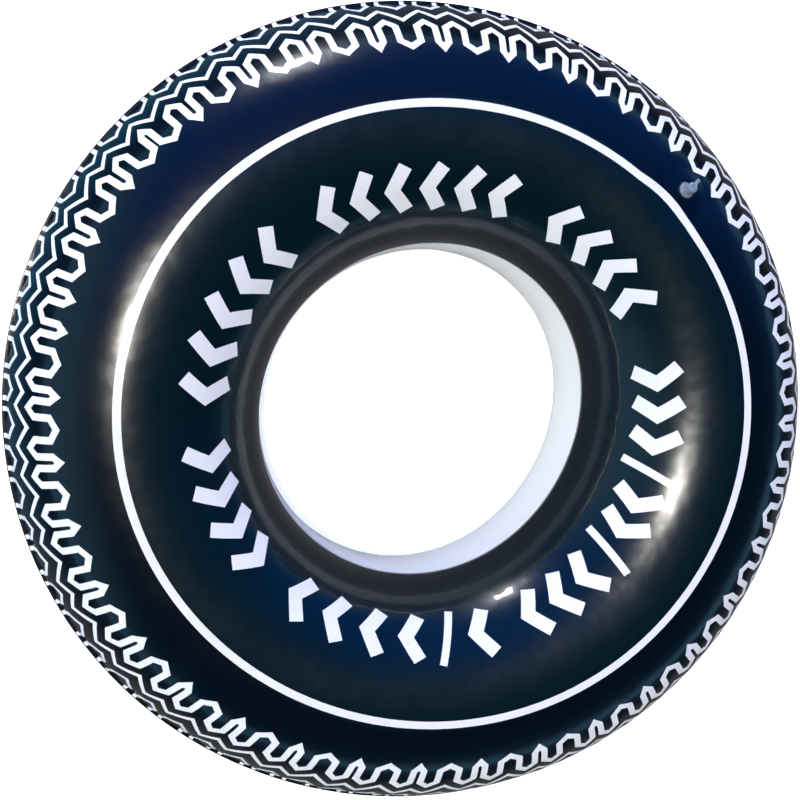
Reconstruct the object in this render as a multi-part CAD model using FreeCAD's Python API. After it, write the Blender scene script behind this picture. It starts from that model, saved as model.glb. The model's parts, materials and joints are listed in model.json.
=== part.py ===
"""Inflatable swim ring with a tyre look: two welded sheets of film and a push-in air valve.

Frame: millimetres, +Z is the ring's axis, the ring lies flat and the origin is on the
floor at the middle of the hole. Black film faces up, white film faces down.
"""
import FreeCAD, Part
import math
import os

# ---- driving dimensions of the air tube (mm, degrees) ----
OUTER_R = 457.0          # outer edge of the welded rim, a 36 inch ring
RIM_WELD_W = 3.5         # flat weld where the two sheets meet outside
THROAT_R = 188.6         # radius of the lap weld around the hole
THROAT_BAND_H = 8.0      # height of that weld
TUBE_H = 230.0           # height of the inflated tube
WAIST_BULGE = 11.2       # how far the white wall swells into the hole past the weld
WAIST_DROP = 56.0        # from the weld down to the narrowest place of the hole
WAIST_H = 8.0            # height of the straight stretch there
CORNER_LIFT = 12.0       # inner corner's own lowest point above the floor
PATCH_W = 20.0           # width of the flat ring on which the tube rests
FILM = 0.3               # vinyl film thickness

# ---- driving dimensions of the valve (mm, degrees) ----
VALVE_ANGLE = 42.0       # place around the ring, from +X towards +Y
VALVE_INSET = 91.5       # from the ring's outer edge in to the valve's axis
BORE_R = 3.4             # bore that takes the plug or a pump nozzle
STEM_WALL = 1.8
STEM_FOOT = 1.5          # stem's lower end above the sheet
STEM_L = 10.0            # length of the stem tube
RIM_BEAD = 0.8           # bead around the stem's mouth, beyond its wall
RIM_H = 1.4
COLLAR_W = 2.4           # ring between the stem and the hole in the base
COLLAR_H = 3.5           # soft collar's height up the stem
COLLAR_DEPTH = 1.1       # collar's foot below the sheet
COLLAR_T = 0.5
FLANGE_SHOW = 1.4        # ring of the base seen inside the sheet's hole
FLANGE_WELD_W = 5.0      # ring of the base welded under the sheet
FLANGE_T = 0.8
PLUG_DEPTH = 6.0         # plug's length inside the bore
PLUG_TAPER = 1.2         # how much the plug narrows to its tip
KNOB_LIP = 1.4           # knob's edge beyond the bore
KNOB_H = 1.8
EAR_REACH = 6.5          # from the stem's bead out to the strap's living hinge
EAR_T = 1.0
STRAP_W = 4.4
STRAP_T = 1.0
HINGE_BARREL_R = 0.7
FLAP_LAP = 0.9           # flap's edge beyond the bore
FLAP_T = 0.4
FLAP_TAB = 0.3           # from the flap's edge out to its fold line

# ---- fits (mm) ----
FIT = 0.05               # plug in bore, stem in collar, collar in disc
HINGE_GAP = 0.1          # ear to barrel
SEAT_GAP = 0.1           # knob to stem mouth, flap to stem foot
EAR_DROP = 0.65          # strap's underside above the ear

# ---- values that follow ----
MID_Z = TUBE_H / 2
RIM_IN_R = OUTER_R - RIM_WELD_W
CREST_R = (THROAT_R + RIM_IN_R) / 2
CREST_IN_R = CREST_R - PATCH_W / 2
CREST_OUT_R = CREST_R + PATCH_W / 2
BAND_TOP = MID_Z + THROAT_BAND_H / 2
BAND_BOTTOM = MID_Z - THROAT_BAND_H / 2
WAIST_R = THROAT_R - WAIST_BULGE
WAIST_TOP = MID_Z - WAIST_DROP + WAIST_H / 2
WAIST_BOTTOM = MID_Z - WAIST_DROP - WAIST_H / 2
CORNER_R = WAIST_BOTTOM - CORNER_LIFT
VALVE_R = OUTER_R - VALVE_INSET
STEM_R = BORE_R + STEM_WALL
STEM_TOP = STEM_FOOT + STEM_L
RIM_R = STEM_R + RIM_BEAD
FLANGE_HOLE_R = STEM_R + COLLAR_W
SHEET_HOLE_R = FLANGE_HOLE_R + FLANGE_SHOW
FLANGE_R = SHEET_HOLE_R + FLANGE_WELD_W
PLUG_TIP_R = BORE_R - PLUG_TAPER
KNOB_R = BORE_R + KNOB_LIP
KNOB_Z = STEM_TOP + SEAT_GAP
HINGE_R = RIM_R + EAR_REACH
HINGE_Z = KNOB_Z + STRAP_T - HINGE_BARREL_R
EAR_TOP = KNOB_Z - EAR_DROP
FLAP_R = BORE_R + FLAP_LAP
FLAP_HINGE_R = FLAP_R + FLAP_TAB
FLAP_TOP = STEM_FOOT - SEAT_GAP


def vec(r, z):
    """Point of a section in the plane through the ring's axis."""
    return FreeCAD.Vector(r, 0, z)


class SkinArc:
    """Arc of the tube's section that is level at its crest and passes through an end point."""

    def __init__(self, crest_r, crest_z, end_r, end_z):
        reach = end_r - crest_r
        drop = crest_z - end_z
        self.up = math.copysign(1.0, drop)
        self.side = math.copysign(1.0, reach)
        self.radius = (reach ** 2 + drop ** 2) / (2 * abs(drop))
        self.centre_r = crest_r
        self.centre_z = crest_z - self.up * self.radius
        self.end_angle = math.atan2(abs(reach), self.up * (end_z - self.centre_z))

    def at(self, angle, depth=0.0):
        """Point at an angle from the crest, this deep under the outside."""
        radius = self.radius - depth
        return vec(self.centre_r + self.side * radius * math.sin(angle),
                   self.centre_z + self.up * radius * math.cos(angle))

    def angle_at_height(self, z, depth):
        """Angle where the curve this deep under the outside passes a height."""
        return math.acos(self.up * (z - self.centre_z) / (self.radius - depth))

    def edge(self, start, end, depth=0.0):
        """Arc edge between two angles."""
        middle = (start + end) / 2
        return Part.Arc(self.at(start, depth), self.at(middle, depth), self.at(end, depth)).toShape()


def corner_end():
    """Point where the inner corner runs smoothly into the flatter arc that rests on the floor."""
    reach = CREST_IN_R - WAIST_R - CORNER_R
    sole_radius = (reach ** 2 + WAIST_BOTTOM ** 2 - CORNER_R ** 2) / (2 * CORNER_LIFT)
    turn = math.atan2(reach, sole_radius - WAIST_BOTTOM)
    return (WAIST_R + CORNER_R * (1 - math.sin(turn)), WAIST_BOTTOM - CORNER_R * math.cos(turn))


UPPER_OUT = SkinArc(CREST_R, TUBE_H, RIM_IN_R, MID_Z + FILM)
UPPER_IN = SkinArc(CREST_R, TUBE_H, THROAT_R, BAND_TOP)
LOWER_OUT = SkinArc(CREST_OUT_R, 0.0, RIM_IN_R, MID_Z - FILM)
LOWER_IN = SkinArc(CREST_IN_R, 0.0, *corner_end())


def line(start, end):
    return Part.LineSegment(start, end).toShape()


def revolve_edges(edges):
    """Solid of revolution about the ring's axis from a closed chain of section edges."""
    face = Part.Face(Part.Wire(edges))
    return face.revolve(FreeCAD.Vector(0, 0, 0), FreeCAD.Vector(0, 0, 1), 360)


def valve_placement():
    """Placement whose Z leaves the sheet at the valve and whose X leans to the rim."""
    tilt = math.asin((VALVE_R - CREST_R) / UPPER_OUT.radius)
    spot = UPPER_OUT.at(tilt)
    tip = FreeCAD.Rotation(FreeCAD.Vector(0, 1, 0), math.degrees(tilt))
    turn = FreeCAD.Rotation(FreeCAD.Vector(0, 0, 1), VALVE_ANGLE)
    return FreeCAD.Placement(turn.multVec(spot), turn.multiply(tip))


VALVE = valve_placement()


def placed(shape):
    """Moves a valve piece from its own frame to its place on the ring."""
    moved = shape.copy()
    moved.Placement = VALVE
    return moved


def disc(radius, bottom, top):
    return Part.makeCylinder(radius, top - bottom, FreeCAD.Vector(0, 0, bottom))


def tapered(bottom_r, top_r, bottom, top):
    return Part.makeCone(bottom_r, top_r, top - bottom, FreeCAD.Vector(0, 0, bottom))


def plate(x_from, x_to, width, bottom, top):
    return Part.makeBox(x_to - x_from, width, top - bottom, FreeCAD.Vector(x_from, -width / 2, bottom))


def cross_rod(x, z, radius, width):
    """Rod across the strap, along the hinge line."""
    return Part.makeCylinder(radius, width, FreeCAD.Vector(x, -width / 2, z), FreeCAD.Vector(0, 1, 0))


def top_sheet():
    """Printed black sheet, from the rim weld over the crest to the weld around the hole."""
    rim = UPPER_OUT.end_angle
    rim_under = UPPER_OUT.angle_at_height(MID_Z, FILM)
    throat = UPPER_IN.end_angle
    throat_under = UPPER_IN.angle_at_height(BAND_TOP, FILM)
    edges = [
        line(vec(OUTER_R, MID_Z), vec(OUTER_R, MID_Z + FILM)),
        line(vec(OUTER_R, MID_Z + FILM), UPPER_OUT.at(rim)),
        UPPER_OUT.edge(rim, 0),
        UPPER_IN.edge(0, throat),
        line(UPPER_IN.at(throat), vec(THROAT_R, BAND_BOTTOM)),
        line(vec(THROAT_R, BAND_BOTTOM), vec(THROAT_R + FILM, BAND_BOTTOM)),
        line(vec(THROAT_R + FILM, BAND_BOTTOM), UPPER_IN.at(throat_under, FILM)),
        UPPER_IN.edge(throat_under, 0, FILM),
        UPPER_OUT.edge(0, rim_under, FILM),
        line(UPPER_OUT.at(rim_under, FILM), vec(OUTER_R, MID_Z)),
    ]
    opening = placed(disc(SHEET_HOLE_R, -FLANGE_R, FLANGE_R))
    return revolve_edges(edges).cut(opening)


def wall_edges(depth):
    """White wall of the hole, from the floor arc up to the foot of the weld, this deep."""
    foot = LOWER_IN.at(LOWER_IN.end_angle, depth)
    corner_turn = LOWER_IN.end_angle / 2 + math.pi / 4
    radius = CORNER_R - depth
    corner = vec(WAIST_R + CORNER_R - radius * math.sin(corner_turn),
                 WAIST_BOTTOM - radius * math.cos(corner_turn))
    bottom, top = vec(WAIST_R + depth, WAIST_BOTTOM), vec(WAIST_R + depth, WAIST_TOP)
    end = vec(THROAT_R + FILM + depth, BAND_BOTTOM)
    swell = SkinArc(WAIST_TOP, -WAIST_R - depth, BAND_BOTTOM, -end.x)
    middle = swell.at(swell.end_angle / 2)
    return [
        Part.Arc(foot, corner, bottom).toShape(),
        line(bottom, top),
        Part.Arc(top, vec(-middle.z, middle.x), end).toShape(),
        line(end, vec(end.x, BAND_TOP)),
    ]


def bottom_sheet():
    """White sheet, from the rim weld under the tube and up the hole to the weld there."""
    rim = LOWER_OUT.end_angle
    rim_over = LOWER_OUT.angle_at_height(MID_Z, FILM)
    foot = LOWER_IN.end_angle
    edges = [
        line(vec(OUTER_R, MID_Z), vec(OUTER_R, MID_Z - FILM)),
        line(vec(OUTER_R, MID_Z - FILM), LOWER_OUT.at(rim)),
        LOWER_OUT.edge(rim, 0),
        line(LOWER_OUT.at(0), LOWER_IN.at(0)),
        LOWER_IN.edge(0, foot),
    ]
    edges += wall_edges(0)
    edges.append(line(vec(THROAT_R + FILM, BAND_TOP), vec(THROAT_R + 2 * FILM, BAND_TOP)))
    edges += wall_edges(FILM)
    edges += [
        LOWER_IN.edge(foot, 0, FILM),
        line(LOWER_IN.at(0, FILM), LOWER_OUT.at(0, FILM)),
        LOWER_OUT.edge(0, rim_over, FILM),
        line(LOWER_OUT.at(rim_over, FILM), vec(OUTER_R, MID_Z)),
    ]
    return revolve_edges(Part.__sortEdges__(edges))


def valve_flange():
    """Round base of the valve, welded to the inside of the printed sheet and curved with it."""
    spread = 2 * FLANGE_R / UPPER_OUT.radius
    tilt = math.asin((VALVE_R - CREST_R) / UPPER_OUT.radius)
    start, end = tilt - spread, tilt + spread
    top, bottom = FILM, FILM + FLANGE_T
    edges = [
        UPPER_OUT.edge(start, end, top),
        line(UPPER_OUT.at(end, top), UPPER_OUT.at(end, bottom)),
        UPPER_OUT.edge(end, start, bottom),
        line(UPPER_OUT.at(start, bottom), UPPER_OUT.at(start, top)),
    ]
    reach = 4 * FLANGE_T
    cutter = disc(FLANGE_R, -reach, reach).cut(disc(FLANGE_HOLE_R, -reach, reach))
    return revolve_edges(edges).common(placed(cutter))


def valve_collar():
    """Soft cone between the base and the stem, which turns inside out as the stem goes in."""
    foot_r = FLANGE_HOLE_R - FIT
    neck_r = STEM_R + FIT
    outline = [
        (foot_r, -COLLAR_DEPTH), (foot_r, 0), (neck_r + COLLAR_T, COLLAR_H - COLLAR_T),
        (neck_r + COLLAR_T, COLLAR_H), (neck_r, COLLAR_H), (neck_r, COLLAR_H - 2 * COLLAR_T),
        (foot_r - COLLAR_T, -COLLAR_T), (foot_r - COLLAR_T, -COLLAR_DEPTH),
    ]
    corners = [vec(r, z) for r, z in outline]
    sides = zip(corners, corners[1:] + corners[:1])
    return placed(revolve_edges([line(start, end) for start, end in sides]))


def valve_stem():
    """Stem tube with a bead at its mouth and the ear that carries the strap."""
    ear_end = HINGE_R - HINGE_BARREL_R - HINGE_GAP
    body = disc(STEM_R, STEM_FOOT, STEM_TOP)
    body = body.fuse(disc(RIM_R, STEM_TOP - RIM_H, STEM_TOP))
    body = body.fuse(plate(BORE_R, ear_end, STRAP_W, EAR_TOP - EAR_T, EAR_TOP))
    bore = disc(BORE_R, STEM_FOOT - RIM_H, STEM_TOP + RIM_H)
    return placed(body.cut(bore).removeSplitter())


def valve_plug():
    """Tapered plug with its round knob."""
    shaft = tapered(PLUG_TIP_R, BORE_R - FIT, STEM_TOP - PLUG_DEPTH, STEM_TOP)
    neck = disc(BORE_R - FIT, STEM_TOP, KNOB_Z)
    knob = disc(KNOB_R, KNOB_Z, KNOB_Z + KNOB_H)
    return placed(shaft.fuse([neck, knob]).removeSplitter())


def plug_strap():
    """Flat strap from the knob to the living hinge at the end of the stem's ear."""
    arm = plate(0, HINGE_R, STRAP_W, KNOB_Z, KNOB_Z + STRAP_T)
    arm = arm.fuse(cross_rod(HINGE_R, HINGE_Z, HINGE_BARREL_R, STRAP_W))
    knob_room = disc(KNOB_R, KNOB_Z - STRAP_T, KNOB_Z + KNOB_H)
    return placed(arm.cut(knob_room).removeSplitter())


def check_flap():
    """Thin flap under the stem's bore, folded open by air on its way in."""
    leaf = disc(FLAP_R, FLAP_TOP - FLAP_T, FLAP_TOP)
    tab = plate(-FLAP_HINGE_R, 0, FLAP_R, FLAP_TOP - FLAP_T, FLAP_TOP)
    return placed(leaf.fuse(tab).removeSplitter())


def main():
    os.makedirs("parts", exist_ok=True)
    makers = [top_sheet, bottom_sheet, valve_flange, valve_collar,
              valve_stem, valve_plug, plug_strap, check_flap]
    for make in makers:
        make().exportStep("parts/" + make.__name__ + ".step")


main()
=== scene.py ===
"""Looks of an inflatable swim ring printed like a car tyre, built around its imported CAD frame.

Lengths inside the classes are in millimetres and turn to metres where a mesh is made. Points on the
tube are named by s, the distance along the section from the rim weld, and by the angle around the ring.
"""

import json
import logging
import math
from dataclasses import dataclass
from enum import Enum
from typing import Any, Callable, Optional, Sequence

import bmesh
import bpy
import numpy as np
from mathutils import Matrix, Vector


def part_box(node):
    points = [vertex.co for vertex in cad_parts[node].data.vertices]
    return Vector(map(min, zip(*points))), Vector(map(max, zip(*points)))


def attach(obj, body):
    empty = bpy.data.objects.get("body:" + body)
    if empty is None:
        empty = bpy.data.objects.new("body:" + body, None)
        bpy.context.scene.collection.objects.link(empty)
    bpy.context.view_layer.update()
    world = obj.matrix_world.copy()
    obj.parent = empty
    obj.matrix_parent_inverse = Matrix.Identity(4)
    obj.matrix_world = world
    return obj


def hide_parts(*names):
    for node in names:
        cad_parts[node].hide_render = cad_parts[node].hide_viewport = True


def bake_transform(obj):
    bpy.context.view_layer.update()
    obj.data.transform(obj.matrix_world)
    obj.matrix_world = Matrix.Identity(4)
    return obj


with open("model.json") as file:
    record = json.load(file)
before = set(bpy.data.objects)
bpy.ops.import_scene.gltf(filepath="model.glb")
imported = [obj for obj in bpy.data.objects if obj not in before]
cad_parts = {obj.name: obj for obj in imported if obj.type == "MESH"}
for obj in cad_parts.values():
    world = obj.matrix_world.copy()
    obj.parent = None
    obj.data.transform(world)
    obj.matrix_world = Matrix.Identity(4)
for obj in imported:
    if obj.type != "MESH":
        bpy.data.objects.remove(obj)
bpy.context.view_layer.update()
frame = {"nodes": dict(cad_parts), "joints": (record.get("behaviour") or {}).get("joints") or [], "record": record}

LOG = logging.getLogger("swim_ring")
MM = 0.001
FILM = 0.3                     # film thickness
SHARP_EDGE = 40.0              # edges that turn by more degrees than this stay crisp
Point = tuple[float, float]
Outline = list[Point]


def linear(code: str) -> tuple[float, float, float, float]:
    """Turns an sRGB hex colour to linear.

    Args:
        code: colour as "#RRGGBB".

    Returns:
        Linear red, green and blue, and an alpha of 1.
    """
    parts = [int(code[i:i + 2], 16) / 255 for i in (1, 3, 5)]
    values = [p / 12.92 if p <= 0.04045 else ((p + 0.055) / 1.055) ** 2.4 for p in parts]
    return (values[0], values[1], values[2], 1.0)


def add_node(tree: bpy.types.NodeTree, kind: str, settings: Optional[dict[str, Any]] = None,
             **links: Any) -> bpy.types.Node:
    """Adds a node with its settings and links.

    Args:
        tree: node tree that takes the node.
        kind: Blender's name of the node type.
        settings: values by attribute name, or by socket name or number.
        links: output sockets by the name of the input, with _ for a space, or i0, i1 by number.

    Returns:
        The new node.
    """
    node = tree.nodes.new(kind)
    for name, value in (settings or {}).items():
        if isinstance(name, str) and hasattr(node, name):
            setattr(node, name, value)
        else:
            node.inputs[name].default_value = value
    for name, socket in links.items():
        key = int(name[1:]) if name[0] == "i" and name[1:].isdigit() else name.replace("_", " ")
        tree.links.new(socket, node.inputs[key])
    return node


def relief(tree: bpy.types.NodeTree, place: bpy.types.Node, size_mm: float, detail: float,
           strength: float) -> tuple[bpy.types.NodeSocket, bpy.types.NodeSocket]:
    """Makes a material's surface uneven.

    Args:
        tree: the material's node tree.
        place: its texture coordinates.
        size_mm: size of the unevenness.
        detail: number of finer levels on top of it.
        strength: how strongly it bends the light.

    Returns:
        Sockets of the surface's height and of its bent direction.
    """
    height = add_node(tree, "ShaderNodeTexNoise", {"Scale": 1 / (size_mm * MM), "Detail": detail},
                      Vector=place.outputs["Object"])
    bump = add_node(tree, "ShaderNodeBump", {"Strength": strength, "Distance": size_mm * MM},
                    Height=height.outputs[0])
    return height.outputs[0], bump.outputs[0]


# ---------------------------------------------------------------- finishes


@dataclass(frozen=True)
class CalenderedVinyl:
    """Glossy calendered PVC film: rolled smooth, so it mirrors, with a faint ripple from the rollers."""

    name: str
    inside: str                # colour within the printed line; on the black film, near black with a teal tint of painted sky reflection
    outside: str               # colour beyond it; on the black film, near black with a navy tint of painted sky reflection
    line_r: float = 342.1      # where the two colours meet
    line_blend: float = 2.0    # half the width over which they do
    ior: float = 1.53
    roughness: float = 0.24    # the film's body, hazed by handling
    shine: float = 0.28        # share of the surface that is still mirror smooth
    shine_roughness: float = 0.05
    ripple_mm: float = 30.0    # wave length of the film's unevenness
    ripple: float = 0.025
    specular: float = 0.3      # below 0.5, as plasticiser bloom on the film dulls its grazing shine
    haze_mm: float = 60.0      # size of the patches of dried water film
    haze: float = 0.04
    haze_range: tuple[float, float] = (0.35, 0.75)

    def build(self) -> bpy.types.Material:
        """Returns the film's material."""
        material, tree, shader = new_material(self.name)
        place = add_node(tree, "ShaderNodeTexCoord")
        cloud = add_node(tree, "ShaderNodeTexNoise",
                         {"Scale": 1 / (self.haze_mm * MM), "Detail": 4.0}, Vector=place.outputs["Object"])
        film = add_node(tree, "ShaderNodeMapRange",
                        {"From Min": self.haze_range[0], "From Max": self.haze_range[1],
                         "To Min": self.roughness, "To Max": self.roughness + self.haze},
                        Value=cloud.outputs[0])
        normal = relief(tree, place, self.ripple_mm, 1.5, self.ripple)[1]
        # On the black film the base colour steps at the printed line between two blue tints of painted sky
        # reflection.
        if self.inside == self.outside:
            shader.inputs["Base Color"].default_value = linear(self.inside)
        else:
            link(tree, self.painted_reflection_tone(tree, place), shader, "Base Color")
        shader.inputs["IOR"].default_value = self.ior
        shader.inputs["Specular IOR Level"].default_value = self.specular
        shader.inputs["Coat Weight"].default_value = self.shine
        shader.inputs["Coat Roughness"].default_value = self.shine_roughness
        link(tree, film.outputs[0], shader, "Roughness")
        link(tree, normal, shader, "Normal")
        link(tree, normal, shader, "Coat Normal")
        return material

    def painted_reflection_tone(self, tree: bpy.types.NodeTree, place: bpy.types.Node) -> bpy.types.NodeSocket:
        """Returns the socket of a colour that changes at the printed line; on the black film its two blue tints
        are painted reflections of the sky.
        """
        parts = add_node(tree, "ShaderNodeSeparateXYZ", i0=place.outputs["Object"])
        flat = add_node(tree, "ShaderNodeCombineXYZ", X=parts.outputs["X"], Y=parts.outputs["Y"])
        radius = add_node(tree, "ShaderNodeVectorMath", {"operation": "LENGTH"}, i0=flat.outputs[0])
        step = add_node(tree, "ShaderNodeMapRange",
                        {"From Min": (self.line_r - self.line_blend) * MM,
                         "From Max": (self.line_r + self.line_blend) * MM}, Value=radius.outputs["Value"])
        tint = add_node(tree, "ShaderNodeMix",
                        {"data_type": "RGBA", 6: linear(self.inside), 7: linear(self.outside)},
                        i0=step.outputs[0])
        return tint.outputs[2]


@dataclass(frozen=True)
class ScreenInk:
    """White screen-print ink on film: a thin dense coat that dries a little less glossy than the film."""

    name: str
    colour: str
    thin_colour: str
    roughness: float = 0.16
    mesh_mm: float = 3.0       # screen's thread spacing, drawn coarser than the real 0.1 mm so that it shows
    mesh_depth: float = 0.02
    wear_mm: float = 22.0      # size of the patches where the coat is thin
    wear_range: tuple[float, float] = (0.5, 0.8)

    def build(self) -> bpy.types.Material:
        """Returns the ink's material."""
        material, tree, shader = new_material(self.name)
        place = add_node(tree, "ShaderNodeTexCoord")
        wear = add_node(tree, "ShaderNodeTexNoise",
                        {"Scale": 1 / (self.wear_mm * MM), "Detail": 5.0}, Vector=place.outputs["Object"])
        thin = add_node(tree, "ShaderNodeMapRange",
                        {"From Min": self.wear_range[0], "From Max": self.wear_range[1]},
                        Value=wear.outputs[0])
        tint = add_node(tree, "ShaderNodeMix",
                        {"data_type": "RGBA", 6: linear(self.colour), 7: linear(self.thin_colour)},
                        i0=thin.outputs[0])
        shader.inputs["Roughness"].default_value = self.roughness
        link(tree, tint.outputs[2], shader, "Base Color")
        link(tree, relief(tree, place, self.mesh_mm, 2.0, self.mesh_depth)[1], shader, "Normal")
        return material


@dataclass(frozen=True)
class MouldedSoftPvc:
    """Clear soft PVC: injection moulded, so it is glassy with a slightly waxy skin and a cool tint."""

    name: str
    colour: str
    ior: float = 1.53
    roughness: float = 0.12
    milkiness: float = 0.15    # roughness that the waxy skin adds in places
    transmission: float = 0.75
    grain_mm: float = 2.0
    grain_depth: float = 0.08

    def build(self) -> bpy.types.Material:
        """Returns the moulding's material."""
        material, tree, shader = new_material(self.name)
        place = add_node(tree, "ShaderNodeTexCoord")
        grain, normal = relief(tree, place, self.grain_mm, 3.0, self.grain_depth)
        milk = add_node(tree, "ShaderNodeMapRange",
                        {"To Min": self.roughness, "To Max": self.roughness + self.milkiness}, Value=grain)
        shader.inputs["Base Color"].default_value = linear(self.colour)
        shader.inputs["IOR"].default_value = self.ior
        shader.inputs["Transmission Weight"].default_value = self.transmission
        link(tree, milk.outputs[0], shader, "Roughness")
        link(tree, normal, shader, "Normal")
        return material


@dataclass(frozen=True)
class StudioFloor:
    """Pale matt floor that glows like a light table, so that it holds no hard shadow.

    Its mirror images are toned apart from it, so that the film mirrors a darker and bluer ground than
    the one in view.
    """

    name: str
    colour: str
    mirrored_near: str         # tone under the ring, in mirror images
    mirrored_side: str         # tone on the side of the blue sky
    mirrored_far: str          # tone far out
    glow: float = 0.55
    specular: float = 0.1
    roughness: float = 0.75
    wear: float = 0.15         # roughness that worn patches add
    patch_mm: float = 400.0
    blue_side: tuple[float, float, float] = (-0.8, 0.6, 0.0)
    blue_m: tuple[float, float] = (0.2, 0.6)       # where the side's tone starts and is full
    far_m: tuple[float, float] = (0.75, 1.1)       # where the far tone does

    def build(self) -> bpy.types.Material:
        """Returns the floor's material."""
        material, tree, shader = new_material(self.name)
        place = add_node(tree, "ShaderNodeTexCoord")
        cloud = add_node(tree, "ShaderNodeTexNoise",
                         {"Scale": 1 / (self.patch_mm * MM), "Detail": 2.0}, Vector=place.outputs["Object"])
        dull = add_node(tree, "ShaderNodeMapRange",
                        {"To Min": self.roughness, "To Max": self.roughness + self.wear},
                        Value=cloud.outputs[0])
        shader.inputs["Base Color"].default_value = linear(self.colour)
        shader.inputs["Specular IOR Level"].default_value = self.specular
        shader.inputs["Emission Color"].default_value = linear(self.colour)
        shader.inputs["Emission Strength"].default_value = self.glow
        link(tree, dull.outputs[0], shader, "Roughness")
        path = add_node(tree, "ShaderNodeLightPath")
        toned = add_node(tree, "ShaderNodeEmission", Color=self.mirrored(tree, place.outputs["Object"]))
        both = add_node(tree, "ShaderNodeMixShader", i0=path.outputs["Is Glossy Ray"],
                        i1=shader.outputs[0], i2=toned.outputs[0])
        link(tree, both.outputs[0], tree.nodes["Material Output"], "Surface")
        return material

    def mirrored(self, tree: bpy.types.NodeTree, spot: bpy.types.NodeSocket) -> bpy.types.NodeSocket:
        """Returns the socket of the floor's tone in mirror images."""
        side = add_node(tree, "ShaderNodeVectorMath", {"operation": "DOT_PRODUCT", 1: self.blue_side},
                        i0=spot)
        bluer = add_node(tree, "ShaderNodeMapRange",
                         {"From Min": self.blue_m[0], "From Max": self.blue_m[1]},
                         Value=side.outputs["Value"])
        near = add_node(tree, "ShaderNodeMix", {"data_type": "RGBA", 6: linear(self.mirrored_near),
                                                7: linear(self.mirrored_side)}, i0=bluer.outputs[0])
        reach = add_node(tree, "ShaderNodeVectorMath", {"operation": "LENGTH"}, i0=spot)
        beyond = add_node(tree, "ShaderNodeMapRange",
                          {"From Min": self.far_m[0], "From Max": self.far_m[1]},
                          Value=reach.outputs["Value"])
        tone = add_node(tree, "ShaderNodeMix", {"data_type": "RGBA", 7: linear(self.mirrored_far)},
                        i0=beyond.outputs[0], i6=near.outputs[2])
        return tone.outputs[2]


def new_material(name: str) -> tuple[bpy.types.Material, bpy.types.NodeTree, bpy.types.Node]:
    """Returns a new material with its node tree and its main shader."""
    material = bpy.data.materials.new(name)
    material.use_nodes = True
    tree = material.node_tree
    return material, tree, tree.nodes["Principled BSDF"]


def link(tree: bpy.types.NodeTree, socket: bpy.types.NodeSocket, node: bpy.types.Node, name: str) -> None:
    """Links an output to a named input."""
    tree.links.new(socket, node.inputs[name])


class Finish(Enum):
    """The finishes that the ring has."""

    # Black film: near black, tinted blue as a painted reflection of the sky, tealer within the printed line and
    # navier beyond it.
    BLACK_FILM = CalenderedVinyl("black_film", inside="#03171F", outside="#020A15")
    WHITE_FILM = CalenderedVinyl("white_film", inside="#F2F3F1", outside="#F2F3F1")
    PRINT = ScreenInk("white_ink", colour="#F9F6F7", thin_colour="#F0EDF0")
    CLEAR = MouldedSoftPvc("clear_soft_pvc", colour="#DCE6F2")
    FLOOR = StudioFloor("studio_floor", colour="#F2F3F4", mirrored_near="#6F6E70", mirrored_side="#3B84AC",
                        mirrored_far="#0A1C28")


_made: dict[Finish, bpy.types.Material] = {}


def finish_material(finish: Finish) -> bpy.types.Material:
    """Returns a finish's material, made once."""
    if finish not in _made:
        _made[finish] = finish.value.build()
    return _made[finish]


def clean(mesh: bpy.types.Mesh, weld: float = 0.0) -> None:
    """Drops points without faces and joins the ones that are closer than weld, in millimetres."""
    work = bmesh.new()
    work.from_mesh(mesh)
    if weld:
        bmesh.ops.remove_doubles(work, verts=work.verts, dist=weld * MM)
    bmesh.ops.delete(work, geom=[v for v in work.verts if not v.link_faces], context="VERTS")
    work.to_mesh(mesh)
    work.free()


def new_piece(name: str, points: Sequence, faces: Sequence, finish: Finish) -> bpy.types.Object:
    """Makes a smooth-shaded mesh object.

    Args:
        name: the piece's name.
        points: corners in millimetres.
        faces: corner numbers of each face.
        finish: the piece's finish.

    Returns:
        The new object, linked to the scene.
    """
    mesh = bpy.data.meshes.new(name)
    mesh.from_pydata((np.asarray(points, float) * MM).tolist(), [], [list(map(int, f)) for f in faces])
    mesh.validate()
    clean(mesh)
    mesh.update()
    mesh.shade_smooth()
    mesh.set_sharp_from_angle(angle=math.radians(SHARP_EDGE))
    mesh.materials.append(finish_material(finish))
    piece = bpy.data.objects.new(name, mesh)
    bpy.context.scene.collection.objects.link(piece)
    return piece


# ---------------------------------------------------------------- the tube's shape


def smooth(t: np.ndarray) -> np.ndarray:
    """Smooth step from 0 to 1."""
    t = np.clip(t, 0, 1)
    return t * t * (3 - 2 * t)


def harmonics(angle: np.ndarray, terms: Sequence[tuple[int, float, float]]) -> np.ndarray:
    """Sum of cosine and sine waves around the ring, each given as (waves, cosine part, sine part)."""
    total = np.zeros_like(angle, dtype=float)
    for waves, cosine, sine in terms:
        total = total + cosine * np.cos(waves * angle) + sine * np.sin(waves * angle)
    return total


def arc(centre: Point, radius: float, start: float, end: float, count: int = 60) -> Outline:
    """Points on an arc, with angles in radians from +r towards +z."""
    angles = np.linspace(start, end, count)
    return [(centre[0] + radius * math.cos(a), centre[1] + radius * math.sin(a)) for a in angles]


def level_arc(crest: Point, end: Point, count: int = 120) -> Outline:
    """Arc that is level at its crest and passes through an end point."""
    reach, drop = end[0] - crest[0], crest[1] - end[1]
    radius = (reach ** 2 + drop ** 2) / (2 * drop)
    turn = math.atan2(abs(reach), (end[1] - crest[1]) / math.copysign(1, drop) + abs(radius))
    angles = np.linspace(0, turn, count)
    side, up = math.copysign(1, reach), math.copysign(1, drop)
    return [(crest[0] + side * abs(radius) * math.sin(a),
             crest[1] - up * abs(radius) * (1 - math.cos(a))) for a in angles]


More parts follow.
